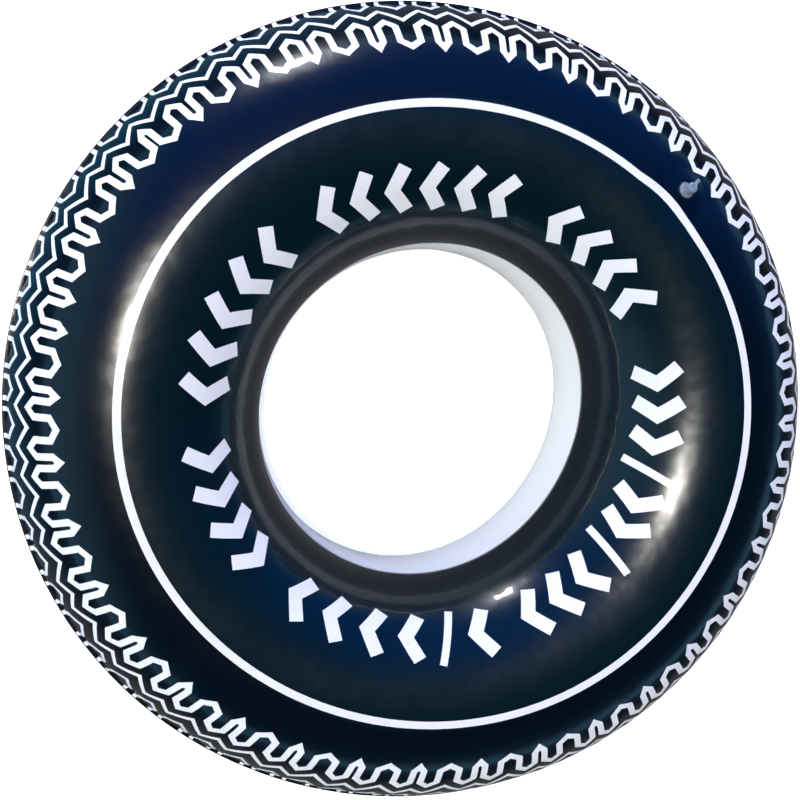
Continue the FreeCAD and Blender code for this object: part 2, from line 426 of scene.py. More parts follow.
@dataclass
class Tube:
    """Shape of the inflated tube: a section that turns around the ring's axis, a little out of round.

    Attributes are in millimetres and come from the frame where it holds them.
    """

    outer_r: float
    height: float
    crest_r: float
    waist_r: float
    waist_z: float
    rim_weld: float = 3.5
    waist_bulge: float = 11.2
    waist_h: float = 8.0
    band_h: float = 8.0
    corner_lift: float = 12.0
    patch_w: float = 20.0
    pucker_rim: float = 0.5        # height of the small folds that run in from the rim weld
    pucker_throat: float = 0.14    # height of those beside the hole
    pucker_fade: float = 16.0      # distance over which the rim's folds die away
    throat_fade: float = 25.6      # distance over which the hole's folds do
    pucker_start: float = 4.0      # distance from a weld at which they are full
    rim_waves: tuple = (41, 59, 76, 97, 118)       # folds around the ring
    throat_waves: tuple = (17, 26, 35, 46)
    rim_round: tuple = ((2, 5.0, -3.7),)           # out of round, as (waves, cosine part, sine part)
    throat_round: tuple = ((1, 2.3, -1.1), (2, 0.8, 4.9), (3, -0.3, 1.1))
    middle_round: tuple = ((1, -3.1, 0.6), (2, 4.2, -3.6))
    top_lift: tuple = ((2, 1.5, -0.7), (3, -1.1, 1.8))     # how far the top is out of level
    wall_slack: float = 5.0        # the white wall swells less on one side of the hole, by up to this
    slack_side: tuple = ((1, -0.5, 0.17),)
    slack_reach: float = 34.0      # how far above and below the waist it does
    valve_r: float = 0.0           # the valve's place, which main sets
    valve_s: float = 0.0
    valve_angle: float = 0.0
    valve_foot: float = 16.0       # the sheet keeps its true place this far around the valve
    valve_calm: float = 60.0       # and is fully out of round from here on
    dip: float = 1.2               # depth of the shallow ring where the sheet is drawn in by the valve
    dip_r: float = 28.0
    dip_w: float = 11.0

    @property
    def mid(self) -> float:
        """Height of the two welds."""
        return self.height / 2

    @property
    def throat_r(self) -> float:
        """Radius of the weld around the hole."""
        return self.waist_r + self.waist_bulge

    def top_section(self) -> Outline:
        """Section of the black sheet from the rim weld over the crest to the weld around the hole."""
        rim_in = self.outer_r - self.rim_weld
        crest = (self.crest_r, self.height)
        outer = level_arc(crest, (rim_in, self.mid + FILM))[::-1]
        inner = level_arc(crest, (self.throat_r, self.mid + self.band_h / 2))
        ends = (self.outer_r, self.mid + FILM), (self.throat_r, self.mid - self.band_h / 2)
        return [ends[0]] + outer + inner[1:] + [ends[1]]

    def bottom_section(self) -> Outline:
        """Section of the white sheet from the rim weld under the tube and up the hole."""
        rim_in = self.outer_r - self.rim_weld
        crest_in, crest_out = self.crest_r - self.patch_w / 2, self.crest_r + self.patch_w / 2
        low, high = self.waist_z - self.waist_h / 2, self.waist_z + self.waist_h / 2
        corner = low - self.corner_lift
        reach = crest_in - self.waist_r - corner
        sole = (reach ** 2 + low ** 2 - corner ** 2) / (2 * self.corner_lift)
        turn = math.atan2(reach, sole - low)
        outer = level_arc((crest_out, 0.0), (rim_in, self.mid - FILM))[::-1]
        floor = arc((crest_in, sole), sole, -math.pi / 2, -math.pi / 2 - turn, 50)
        bend = arc((self.waist_r + corner, low), corner, -math.pi / 2 - turn, -math.pi, 40)
        foot = (self.throat_r + FILM, self.mid - self.band_h / 2)
        out, up = foot[0] - self.waist_r, foot[1] - high
        swell = (out ** 2 + up ** 2) / (2 * out)
        wall = arc((self.waist_r + swell, high), swell, math.pi, math.pi - math.atan2(up, swell - out), 30)
        return ([(self.outer_r, self.mid - FILM)] + outer + floor + bend[1:] + wall
                + [(foot[0], self.mid + self.band_h / 2)])


class Skin:
    """One welded sheet of the tube, which turns (s, angle) into places and outward directions."""

    MEAN_R = 300.0             # about the middle of the tube, to turn a short step into an angle
    FOLD_SPREAD = 0.5          # unevenness of the folds

    def __init__(self, tube: Tube, section: Outline, seed: int) -> None:
        """Measures the section and draws the uneven heights of the folds."""
        self.tube = tube
        self.r = np.array([p[0] for p in section])
        self.z = np.array([p[1] for p in section])
        steps = np.hypot(np.diff(self.r), np.diff(self.z))
        self.s = np.concatenate([[0.0], np.cumsum(steps)])
        self.length = float(self.s[-1])
        random = np.random.default_rng(seed)
        self.rim_folds = [(n, *random.normal(0, self.FOLD_SPREAD, 2)) for n in tube.rim_waves]
        self.throat_folds = [(n, *random.normal(0, self.FOLD_SPREAD, 2)) for n in tube.throat_waves]

    def s_at(self, radius: float) -> float:
        """Place along the section where the upper side has a radius."""
        upper = self.z > self.tube.mid + 1
        return float(np.interp(-radius, -self.r[upper], self.s[upper]))

    def place(self, s: np.ndarray, angle: np.ndarray, lift: float = 0.0) -> np.ndarray:
        """Points on the sheet.

        Args:
            s: distance along the section from the rim's edge.
            angle: angle around the ring in radians.
            lift: height above the sheet.

        Returns:
            Points in millimetres, with the axis last.
        """
        s, angle = np.broadcast_arrays(np.asarray(s, float), np.asarray(angle, float))
        spot = self.base(s, angle)
        out = self.outward(s, angle)
        return spot + out * (self.folds(s, angle) + lift)[..., None]

    def base(self, s: np.ndarray, angle: np.ndarray) -> np.ndarray:
        """Points on the sheet without its small folds."""
        tube = self.tube
        r, z = np.interp(s, self.s, self.r), np.interp(s, self.s, self.z)
        t = np.clip((r - tube.throat_r) / (tube.outer_r - tube.throat_r), 0, 1)
        rim = harmonics(angle, tube.rim_round)
        throat = harmonics(angle, tube.throat_round)
        middle = harmonics(angle, tube.middle_round)
        lift = harmonics(angle, tube.top_lift) * smooth(z / tube.mid)
        calm = 1.0 - self.near_valve(s, angle, tube.valve_calm)
        if self.side > 0:
            slack = harmonics(angle, tube.slack_side) + 0.5
            near_waist = np.exp(-((z - tube.waist_z) / tube.slack_reach) ** 2) * (r < tube.crest_r)
            r = r + tube.wall_slack * slack * near_waist
        r = r + calm * (throat * (1 - t) + rim * t + middle * 4 * t * (1 - t))
        z = z + calm * lift
        return np.stack([r * np.cos(angle), r * np.sin(angle), z], -1)

    def outward(self, s: np.ndarray, angle: np.ndarray, step: float = 0.5) -> np.ndarray:
        """Unit directions out of the tube."""
        turn = step / self.MEAN_R
        along = self.base(s + step, angle) - self.base(s - step, angle)
        around = self.base(s, angle + turn) - self.base(s, angle - turn)
        cross = np.cross(along, around) * self.side
        return cross / np.maximum(np.linalg.norm(cross, axis=-1, keepdims=True), 1e-9)

    @property
    def side(self) -> float:
        """Sign that makes the directions point out of the tube."""
        return -1.0 if self.z[len(self.z) // 3] > self.tube.mid else 1.0

    def valve_offset(self, s: np.ndarray, angle: np.ndarray) -> np.ndarray:
        """Distance from the valve's axis along the sheet."""
        tube = self.tube
        r = np.interp(s, self.s, self.r)
        turn = (angle - tube.valve_angle + math.pi) % (2 * math.pi) - math.pi
        return np.hypot(s - tube.valve_s, r * turn)

    def near_valve(self, s: np.ndarray, angle: np.ndarray, reach: float) -> np.ndarray:
        """1 over the valve's base, falling to 0 at the reach."""
        if self.side > 0:
            return np.zeros_like(s)
        foot = self.tube.valve_foot
        return 1.0 - smooth((self.valve_offset(s, angle) - foot) / (reach - foot))

    def folds(self, s: np.ndarray, angle: np.ndarray) -> np.ndarray:
        """Height of the small folds beside the two welds and of the dip around the valve."""
        tube = self.tube
        rim = self.beside_weld(s - tube.rim_weld, tube.pucker_fade)
        throat = self.beside_weld(self.length - tube.band_h - s, tube.throat_fade)
        height = (tube.pucker_rim * rim * harmonics(angle, self.rim_folds)
                  + tube.pucker_throat * throat * harmonics(angle, self.throat_folds))
        if self.side < 0:
            away = self.valve_offset(s, angle)
            height = height - tube.dip * np.exp(-((away - tube.dip_r) / tube.dip_w) ** 2)
        return height

    def beside_weld(self, away: np.ndarray, fade: float) -> np.ndarray:
        """Share of the folds' full height at a distance from their weld."""
        rise = smooth(away / self.tube.pucker_start)
        return np.where(away > 0, rise * np.exp(-np.maximum(away, 0) / fade), 0)


@dataclass
class FilmSheet:
    """One sheet of film as a closed thin shell.

    Attributes:
        name: the piece's name.
        skin: the sheet's shape.
        finish: the sheet's finish.
        node: CAD node that the piece stands for.
        slot: the record's material slot; not used.
        around: number of faces around the ring.
        row_mm: largest spacing of the rows along the section.
        close_rows: distances from a weld of the rows that follow its folds.
        hole_r: radius of the valve's hole, or 0.
        patch: rows and columns of faces left out on each side of the hole's middle.
        rings: rings of faces that fill them up to the hole.
    """

    name: str
    skin: Skin
    finish: Finish
    node: str
    slot: str
    around: int = 576
    row_mm: float = 4.4
    close_rows: tuple = (1.5, 3.0, 5.0)
    hole_r: float = 0.0
    patch: int = 6
    rings: int = 7

    def rows(self) -> np.ndarray:
        """Places of the rows, closer together beside the welds."""
        skin, weld, band = self.skin, self.skin.tube.rim_weld, self.skin.tube.band_h
        start = [0.0, weld / 2, weld] + [weld + d for d in self.close_rows]
        end = [skin.length - band - d for d in self.close_rows[::-1]]
        end += [skin.length - band, skin.length - band / 2, skin.length]
        count = math.ceil((end[0] - start[-1]) / self.row_mm)
        return np.concatenate([start, np.linspace(start[-1], end[0], count + 1)[1:-1], end])

    def build(self) -> bpy.types.Object:
        """Builds and thickens the sheet, hides its CAD node and attaches it to the tube's body.

        Returns:
            The sheet's object.
        """
        rows = self.rows()
        angles = np.linspace(0, 2 * math.pi, self.around, endpoint=False) + self.skin.tube.valve_angle
        s, angle = np.meshgrid(rows, angles, indexing="ij")
        points = self.skin.place(s, angle).reshape(-1, 3)
        faces = []
        centre = int(np.argmin(abs(rows - self.skin.tube.valve_s)))
        for i in range(len(rows) - 1):
            for j in range(self.around):
                k = (j + 1) % self.around
                gap = (j + 0.5 + self.around / 2) % self.around - self.around / 2
                if self.hole_r and abs(i + 0.5 - centre) < self.patch and abs(gap) < self.patch:
                    continue
                faces.append(self.turned([i * self.around + j, i * self.around + k,
                                          (i + 1) * self.around + k, (i + 1) * self.around + j]))
        if self.hole_r:
            points, extra = self.hole_patch(points, rows, centre)
            faces += extra
        piece = new_piece(self.name, points, faces, self.finish)
        shell = piece.modifiers.new("thickness", "SOLIDIFY")
        shell.thickness = FILM * MM
        shell.offset = -1.0
        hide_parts(self.node)
        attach(piece, "tube")
        LOG.info("%s: %d faces", self.name, len(faces))
        return piece

    def turned(self, face: list[int]) -> list[int]:
        """Returns a face with its corners in the order that points it outward."""
        return face[::-1] if self.skin.side > 0 else face

    def hole_patch(self, points: np.ndarray, rows: np.ndarray,
                   centre: int) -> tuple[np.ndarray, list[list[int]]]:
        """Fills the square left around the valve with rings of faces that end in the round hole.

        Args:
            points: the sheet's points so far.
            rows: places of the rows.
            centre: number of the row nearest to the valve.

        Returns:
            All points, and the faces to add.
        """
        tube, n = self.skin.tube, self.patch
        edge = [(-n, j) for j in range(-n, n)] + [(i, n) for i in range(-n, n)]
        edge += [(n, j) for j in range(n, -n, -1)] + [(i, -n) for i in range(n, -n, -1)]
        ids = [(centre + i) * self.around + j % self.around for i, j in edge]
        r = tube.valve_r
        x = np.array([rows[centre + i] - tube.valve_s for i, j in edge])
        y = np.array([r * j * 2 * math.pi / self.around for i, j in edge])
        away = np.hypot(x, y)
        faces: list[list[int]] = []
        previous = ids
        for ring in range(1, self.rings + 1):
            t = ring / self.rings
            scale = (1 - t) + t * self.hole_r / away
            spots = self.skin.place(tube.valve_s + x * scale, tube.valve_angle + y * scale / r)
            current = [len(points) + m for m in range(len(edge))]
            points = np.concatenate([points, spots])
            for m in range(len(edge)):
                k = (m + 1) % len(edge)
                faces.append(self.turned([previous[m], previous[k], current[k], current[m]]))
            previous = current
        return points, faces


# ---------------------------------------------------------------- the print


class Turn(Enum):
    """Which way a row of arrow marks points around the ring."""

    FORWARD = 1
    BACKWARD = -1


@dataclass
class Print:
    """White print on the black sheet: tread rows, a line and a band of arrow marks.

    Attributes are in millimetres and degrees. Lobes are the repeats of the tread.
    """

    skin: Skin
    lobes: int = 72
    lobe_start: float = 2.1
    pitch_waves: tuple = ((1, 0.8, 1.75), (2, -0.9, -0.65), (3, 0.27, 0.0))
    flip: range = range(27, 33)     # wide and narrow lobes swap here, between the artwork's two joins
    drift_waves: tuple = ((1, 5.3, -3.5), (2, 0.0, 2.7))
    halves: tuple = (1.6, 0.82)     # half the width of a wide and a narrow lobe, in degrees
    meander_w: float = 7.6
    meander_s: tuple = (81.5, 104.5, 112.6)        # a lobe's foot, shoulder and tip
    meander_gap_s: float = 72.0     # between two lobes
    zigzag_w: float = 5.2
    zigzag_s: tuple = (69.5, 62.5)  # tip of a wide and a narrow tooth
    zigzag_gap_s: float = 46.5
    cup_w: float = 5.0
    cup_halves: tuple = (1.8, 1.45)
    cup_s: tuple = (40.5, 37.0)     # tip of a wide and a narrow cup
    cup_shoulder_s: float = 24.0
    cup_open_s: float = -12.0       # past the rim, which cuts the cup off
    line_r: float = 342.1
    line_w: float = 8.9
    line_step: int = 3              # degrees between its points
    ink: float = 0.14               # ink's top above the sheet
    ink_under: float = -0.03
    cut: float = 5.0                # longest piece of a stroke
    trim_s: float = 1.0             # where the rim cuts a stroke's centre line
    edge_s: float = 0.4             # and its edges
    mitre_limit: float = 0.35
    mark_s: float = 270.5
    mark_h: float = 60.0
    mark_w: float = 16.0
    mark_inset: float = 3.0         # marks end this much inside the band's height, and bars outside it
    bar_w: float = 8.5
    bar_slant: float = 1.9
    mark_bars: tuple = (271.0, 321.0, 344.0)
    # each group's start and end, how many marks it has and which way they point
    mark_groups: tuple = ((25, 62, 4, Turn.FORWARD), (70, 124, 6, Turn.FORWARD),
                          (131, 176, 5, Turn.FORWARD), (183, 218, 4, Turn.FORWARD),
                          (225, 267, 4, Turn.BACKWARD), (275, 286, 1, Turn.BACKWARD),
                          (291, 317, 3, Turn.BACKWARD), (325, 340, 2, Turn.BACKWARD),
                          (348, 373, 3, Turn.BACKWARD))

    def drift(self, angle: np.ndarray) -> np.ndarray:
        """How far off centre the artwork sits on the ring, along s."""
        return harmonics(np.asarray(angle, float), self.drift_waves)

    def lobe_angle(self, number: float) -> float:
        """Angle in degrees of a lobe's inward tip; the film stretches unevenly, so the pitch varies."""
        even = number * 360 / self.lobes
        return even + self.lobe_start + float(harmonics(np.array(math.radians(even)), self.pitch_waves))

    def wide(self, number: int) -> bool:
        """True for a lobe of the wide kind."""
        number %= self.lobes
        return (number % 2 == 0) != (number in self.flip)

    def kind(self, number: int, choices: tuple[float, float]) -> float:
        """Picks a wide or a narrow lobe's value."""
        return choices[0] if self.wide(number) else choices[1]

    def gap(self, number: int) -> float:
        """Angle in degrees halfway between a lobe's edge and the next one's."""
        one = self.lobe_angle(number) + self.kind(number, self.halves)
        return (one + self.lobe_angle(number + 1) - self.kind(number + 1, self.halves)) / 2

    def meander(self) -> Outline:
        """Centre line of the inner tread row, as (s, degrees) without drift."""
        foot, shoulder, tip = self.meander_s
        path: Outline = []
        for i in range(self.lobes):
            here, half = self.lobe_angle(i), self.kind(i, self.halves)
            path += [(foot, here - half), (shoulder, here - half), (tip, here),
                     (shoulder, here + half), (foot, here + half), (self.meander_gap_s, self.gap(i))]
        return path

    def zigzag(self) -> Outline:
        """Centre line of the middle tread row."""
        path: Outline = []
        for i in range(self.lobes):
            path += [(self.kind(i, self.zigzag_s), self.lobe_angle(i)), (self.zigzag_gap_s, self.gap(i))]
        return path

    def cup(self, number: int) -> Outline:
        """Centre line of one cup of the outer tread row, cut off by the rim."""
        here, half = self.lobe_angle(number), self.kind(number, self.cup_halves)
        end, shoulder = self.cup_open_s, self.cup_shoulder_s
        return [(end, here - half), (shoulder, here - half), (self.kind(number, self.cup_s), here),
                (shoulder, here + half), (end, here + half)]

    def stroke(self, path: Outline, width: float, closed: bool) -> tuple[list, list]:
        """Turns a centre line into a closed ribbon of ink with mitred corners.

        Args:
            path: corners as (s, degrees).
            width: width of the stroke.
            closed: True if the line runs on from its end to its start.

        Returns:
            Points and faces.
        """
        s = np.array([p[0] for p in path])
        a = np.radians([p[1] for p in path])
        s = s + self.drift(a)
        s = s if closed else np.maximum(s, self.trim_s)
        r = np.interp(s, self.skin.s, self.skin.r)
        if closed:
            s, a, r = (np.concatenate([v[-1:], v, v[:1]]) for v in (s, a, r))
            a[0] -= 2 * math.pi
            a[-1] += 2 * math.pi
        sides = []
        for k in range(1, len(s) - 1) if closed else range(len(s)):
            before, after = max(k - 1, 0), min(k + 1, len(s) - 1)
            one = np.array([s[k] - s[before], r[k] * (a[k] - a[before])])
            two = np.array([s[after] - s[k], r[k] * (a[after] - a[k])])
            one = one / np.linalg.norm(one) if np.linalg.norm(one) > 0 else two / np.linalg.norm(two)
            two = two / np.linalg.norm(two) if np.linalg.norm(two) > 0 else one
            normal = np.array([-(one + two)[1], (one + two)[0]])
            normal /= np.linalg.norm(normal)
            mitre = (width / 2) / max(float(normal @ np.array([-one[1], one[0]])), self.mitre_limit)
            sides.append((s[k], a[k], normal[0] * mitre, normal[1] * mitre / r[k]))
        if closed:
            first = sides[0]
            sides.append((first[0], first[1] + 2 * math.pi, first[2], first[3]))
        return self.ribbon(np.array(sides), width, closed)

    def ribbon(self, sides: np.ndarray, width: float, closed: bool) -> tuple[list, list]:
        """Cuts a stroke into short pieces and lays them on the sheet as a thin closed body."""
        stations = []
        for one, two in zip(sides, sides[1:]):
            r = np.interp(one[0], self.skin.s, self.skin.r)
            length = math.hypot(two[0] - one[0], r * (two[1] - one[1]))
            count = max(1, math.ceil(length / self.cut))
            stations += [one + (two - one) * m / count for m in range(count)]
        stations = np.array(stations if closed else stations + [sides[-1]])
        across = np.linspace(-1, 1, max(2, math.ceil(width / self.cut) + 1))
        s = np.clip(stations[:, 0:1] + stations[:, 2:3] * across, self.edge_s, None)
        a = stations[:, 1:2] + stations[:, 3:4] * across
        top = self.skin.place(s, a, self.ink)
        under = self.skin.place(s, a, self.ink_under)
        n, m = s.shape
        points = np.concatenate([top.reshape(-1, 3), under.reshape(-1, 3)])
        faces = []
        for i in range(n if closed else n - 1):
            k = (i + 1) % n
            for j in range(m - 1):
                quad = [i * m + j, i * m + j + 1, k * m + j + 1, k * m + j]
                faces += [quad, [q + n * m for q in quad[::-1]]]
            for j in (0, m - 1):
                edge = [i * m + j, k * m + j, k * m + j + n * m, i * m + j + n * m]
                faces.append(edge if j == 0 else edge[::-1])
        for i in () if closed else (0, n - 1):
            for j in range(m - 1):
                edge = [i * m + j, i * m + j + n * m, i * m + j + 1 + n * m, i * m + j + 1]
                faces.append(edge if i == 0 else edge[::-1])
        return points.tolist(), faces

    def chevron(self, angle: float, turn: Turn) -> Outline:
        """Centre line of an arrow mark that points around the ring."""
        r = np.interp(self.mark_s, self.skin.s, self.skin.r)
        point = math.degrees(self.mark_w / r) * turn.value
        half = self.mark_h / 2 - self.mark_inset
        return [(self.mark_s - half, angle - point / 2), (self.mark_s, angle + point / 2),
                (self.mark_s + half, angle - point / 2)]

    def marks(self) -> list[tuple[Outline, float]]:
        """Centre lines and widths of the arrow marks and the slanted bars between them."""
        lines = []
        for start, end, count, turn in self.mark_groups:
            pitch = (end - start) / count
            lines += [(self.chevron(start + pitch * (k + 0.5), turn), self.mark_w) for k in range(count)]
        half = self.mark_h / 2 + self.mark_inset
        for angle in self.mark_bars:
            bar = [(self.mark_s - half, angle - self.bar_slant), (self.mark_s + half, angle + self.bar_slant)]
            lines.append((bar, self.bar_w))
        return lines

    def lay(self, name: str, strokes: Sequence[tuple[Outline, float, bool]]) -> bpy.types.Object:
        """Lays strokes on the sheet as one printed piece."""
        points: list = []
        faces: list = []
        for path, width, closed in strokes:
            more_points, more_faces = self.stroke(path, width, closed)
            faces += [[v + len(points) for v in f] for f in more_faces]
            points += more_points
        piece = new_piece(name, points, faces, Finish.PRINT)
        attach(piece, "tube")
        LOG.info("%s: %d strokes", name, len(strokes))
        return piece

    def line(self) -> Outline:
        """Centre line of the printed line, which has no drift of its own."""
        s = self.skin.s_at(self.line_r)
        return [(s - float(self.drift(math.radians(d))), float(d)) for d in range(0, 360, self.line_step)]

    def build(self) -> None:
        """Builds the print's pieces."""
        self.lay("tread_meander", [(self.meander(), self.meander_w, True)])
        self.lay("tread_zigzag", [(self.zigzag(), self.zigzag_w, True)])
        self.lay("tread_cups", [(self.cup(i), self.cup_w, False) for i in range(self.lobes)])
        self.lay("sidewall_line", [(self.line(), self.line_w, True)])
        self.lay("sidewall_marks", [(path, width, False) for path, width in self.marks()])


# ---------------------------------------------------------------- the valve


def rounded(outline: Sequence[tuple[float, float, float]], steps: int = 4) -> Outline:
    """Rounds the corners of a closed outline.

    Args:
        outline: corners as (x, y, radius).
        steps: pieces in each rounded corner.

    Returns:
        Points of the rounded outline.
    """
    result: Outline = []
    for k, (x, y, radius) in enumerate(outline):
        here = Vector((x, y))
        back = Vector(outline[k - 1][:2]) - here
        ahead = Vector(outline[(k + 1) % len(outline)][:2]) - here
        if radius <= 0:
            result.append((x, y))
            continue
        cut = min(radius, 0.45 * back.length, 0.45 * ahead.length)
        one, two = here + back.normalized() * cut, here + ahead.normalized() * cut
        for m in range(steps + 1):
            t = m / steps
            spot = one * (1 - t) ** 2 + here * 2 * t * (1 - t) + two * t ** 2
            result.append((spot.x, spot.y))
    return result


@dataclass
class AirValve:
    """Push-in air valve: soft collar, stem with a bead and an ear, and a plug on a strap.

    Sizes are in millimetres in the valve's own frame: the origin on the sheet, the third axis along
    the stem and the first one towards the rim.
    """

    origin: Vector
    rimward: Vector
    across: Vector
    out: Vector
    bore: float = 3.4
    stem_r: float = 5.2
    stem_foot: float = 1.5
    stem_top: float = 11.5
    bead_r: float = 6.0
    bead_h: float = 1.4
    grip_z: tuple = (5.5, 7.5)     # two moulded rings for the fingers
    grip_h: float = 0.25
    grip_w: float = 0.3
    ear_x: float = 11.7
    ear_z: float = 9.95
    ear_t: float = 1.0
    sheet_hole: float = 9.0        # hole in the black sheet
    base_hole: float = 7.55
    collar_h: float = 3.5
    collar_t: float = 0.5
    collar_low: float = -1.1
    collar_sag: float = 0.25
    collar_gap: float = 0.05       # between collar and stem
    plug_tip: float = 2.2
    plug_foot: float = 5.5
    knob_r: float = 4.8
    knob_top: float = 13.4
    knob_dish: float = 0.45        # depth of the hollow in the knob's top
    plug_gap: float = 0.05
    scallop_n: int = 14
    scallop_h: float = 0.14
    seat: float = 11.6
    hinge_x: float = 12.5
    hinge_z: float = 11.9
    hinge_r: float = 0.7
    strap_w: float = 4.4
    strap_t: float = 1.0
    strap_waist: float = 0.72      # share of the width that is left in the middle
    rib_w: float = 1.0
    rib_z: tuple = (0.6, 1.35)     # from inside the strap to the rib's top
    sides: int = 72

    def at(self, x: float, y: float, z: float) -> Vector:
        """Point of the ring's frame, in millimetres, from one of the valve's."""
        return self.origin + self.rimward * x + self.across * y + self.out * z

    def lathe(self, profile: Outline,
              ripple: Optional[Callable[[float, float], float]] = None) -> tuple[list, list]:
        """Turns a closed profile around the valve's axis.

        Args:
            profile: points as (radius, height), anticlockwise.
            ripple: extra radius by angle and height, or None.

        Returns:
            Points and faces.
        """
        points, n = [], len(profile)
        for k in range(self.sides):
            a = 2 * math.pi * k / self.sides
            for r, z in profile:
                wide = r + (ripple(a, z) if ripple and r > 0.01 else 0.0)
                points.append(self.at(wide * math.cos(a), wide * math.sin(a), z))
        faces = [[k * n + m, ((k + 1) % self.sides) * n + m,
                  ((k + 1) % self.sides) * n + (m + 1) % n, k * n + (m + 1) % n]
                 for k in range(self.sides) for m in range(n)
                 if max(profile[m][0], profile[(m + 1) % n][0]) > 0.01]
        return points, faces

    def slab(self, outline: Outline, low: float, high: float, soft: float = 0.22) -> tuple[list, list]:
        """Flat plate with softened edges from an outline in the plane across the stem."""
        centre = np.mean(np.array(outline), axis=0)
        levels = [(low, soft), (low + soft * 0.3, soft * 0.3), (low + soft, 0), (high - soft, 0),
                  (high - soft * 0.3, soft * 0.3), (high, soft)]
        points, n = [], len(outline)
        for z, inset in levels:
            for x, y in outline:
                way = np.array([x, y]) - centre
                way = way * (1 - inset / max(float(np.linalg.norm(way)), 0.01))
                points.append(self.at(centre[0] + way[0], centre[1] + way[1], z))
        faces = [[k * n + m, k * n + (m + 1) % n, (k + 1) * n + (m + 1) % n, (k + 1) * n + m]
                 for k in range(len(levels) - 1) for m in range(n)]
        faces += [list(range(n))[::-1], [(len(levels) - 1) * n + m for m in range(n)]]
        return points, faces

    def united(self, name: str, bodies: Sequence[tuple[list, list]]) -> bpy.types.Object:
        """Makes one piece from solids that overlap, joined by boolean union."""
        piece = new_piece(name, *bodies[0], Finish.CLEAR)
        for points, faces in bodies[1:]:
            other = new_piece(name + "_part", points, faces, Finish.CLEAR)
            union = piece.modifiers.new("union", "BOOLEAN")
            union.operation, union.object, union.solver = "UNION", other, "EXACT"
            graph = bpy.context.evaluated_depsgraph_get()
            joined = bpy.data.meshes.new_from_object(piece.evaluated_get(graph))
            piece.modifiers.clear()
            piece.data = joined
            bpy.data.objects.remove(other)
        piece.data.shade_smooth()
        piece.data.name = name
        return piece

    def register(self, piece: bpy.types.Object, node: str, body: Optional[str]) -> bpy.types.Object:
        """Hides the CAD node that a valve piece stands for and attaches the piece to its body, if it has one."""
        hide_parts(node)
        if body:
            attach(piece, body)
        LOG.info("%s: %d faces", piece.name, len(piece.data.polygons))
        return piece

    def stem(self) -> bpy.types.Object:
        """Stem tube with its bead, two moulded grip rings and the ear for the strap."""
        bead_low = self.stem_top - self.bead_h
        grips = [(self.stem_r + rise, z + shift, 0.1) for z in self.grip_z
                 for rise, shift in ((0.0, -self.grip_w), (self.grip_h, 0.0), (0.0, self.grip_w))]
        tube = rounded([(self.bore, self.stem_foot, 0.3), (self.stem_r, self.stem_foot, 0.5), *grips,
                        (self.stem_r, bead_low - 0.5, 0.4), (self.bead_r, bead_low, 0.4),
                        (self.bead_r, self.stem_top, 0.6), (self.bore, self.stem_top, 0.3)])
        half, root = self.strap_w / 2, self.bore + 0.8
        ear = rounded([(root, -half, 0.3), (self.ear_x, -half * 0.85, 0.5), (self.ear_x, half * 0.85, 0.5),
                       (root, half, 0.3)])
        plate = self.slab(ear, self.ear_z, self.ear_z + self.ear_t)
        piece = self.united("air_valve_stem", [self.lathe(tube), plate])
        return self.register(piece, "valve_stem", "stem")

    def plug(self) -> bpy.types.Object:
        """Tapered plug with a domed knob whose edge is scalloped for the fingers."""
        tight, dish = self.bore - self.plug_gap, self.knob_top - self.knob_dish
        knob = rounded([(0.001, self.plug_foot + 0.2, 0), (self.plug_tip, self.plug_foot, 0.5),
                        (tight, self.stem_top, 0.1), (tight, self.seat, 0.05),
                        (self.knob_r, self.seat, 0.35), (self.knob_r, self.knob_top - 0.5, 0.5),
                        (2.6, self.knob_top, 0.8), (1.2, dish, 0.5), (0.001, dish, 0)])

        def scallop(angle: float, z: float) -> float:
            """Depth of the finger scallops, on the knob only."""
            if z <= self.seat + 0.3:
                return 0.0
            return -self.scallop_h * (1 + math.cos(self.scallop_n * angle))

        piece = new_piece("air_valve_plug", *self.lathe(knob, scallop), Finish.CLEAR)
        clean(piece.data, weld=0.01)
        return self.register(piece, "valve_plug", "plug")

    def strap(self) -> bpy.types.Object:
        """Strap from the knob to the hinge: waisted, with a centre rib and a round hinge barrel."""
        half, start = self.strap_w / 2, self.knob_r - 0.25
        waist = half * self.strap_waist
        sides = [(start, half, 0.1), (7.2, waist, 1.2), (9.8, waist, 1.2), (self.hinge_x, half, 0.3)]
        outline = rounded([(x, -y, c) for x, y, c in sides] + [(x, y, c) for x, y, c in sides[::-1]])
        plate = self.slab(outline, self.seat, self.seat + self.strap_t)
        one, two, side = start + 0.5, self.hinge_x - 1.0, self.rib_w / 2
        rib = self.slab(rounded([(one, -side, 0.3), (two, -side, 0.3), (two, side, 0.3), (one, side, 0.3)]),
                        self.seat + self.rib_z[0], self.seat + self.rib_z[1])
        piece = self.united("air_valve_strap", [plate, rib, self.barrel(half)])
        return self.register(piece, "plug_strap", "plug")

    def barrel(self, half: float, count: int = 20) -> tuple[list, list]:
        """Round rod along the hinge line with rounded ends."""
        ends = [(0.0, 0.6), (0.12, 0.9), (0.3, 1.0)]       # distance from the end, share of the radius
        rings = [(d - half, share) for d, share in ends] + [(half - d, share) for d, share in ends[::-1]]
        points = [self.at(self.hinge_x + self.hinge_r * share * math.cos(2 * math.pi * k / count), y,
                          self.hinge_z + self.hinge_r * share * math.sin(2 * math.pi * k / count))
                  for y, share in rings for k in range(count)]
        faces = [[i * count + k, (i + 1) * count + k,
                  (i + 1) * count + (k + 1) % count, i * count + (k + 1) % count]
                 for i in range(len(rings) - 1) for k in range(count)]
        faces += [list(range(count)), [(len(rings) - 1) * count + k for k in range(count)][::-1]]
        return points, faces

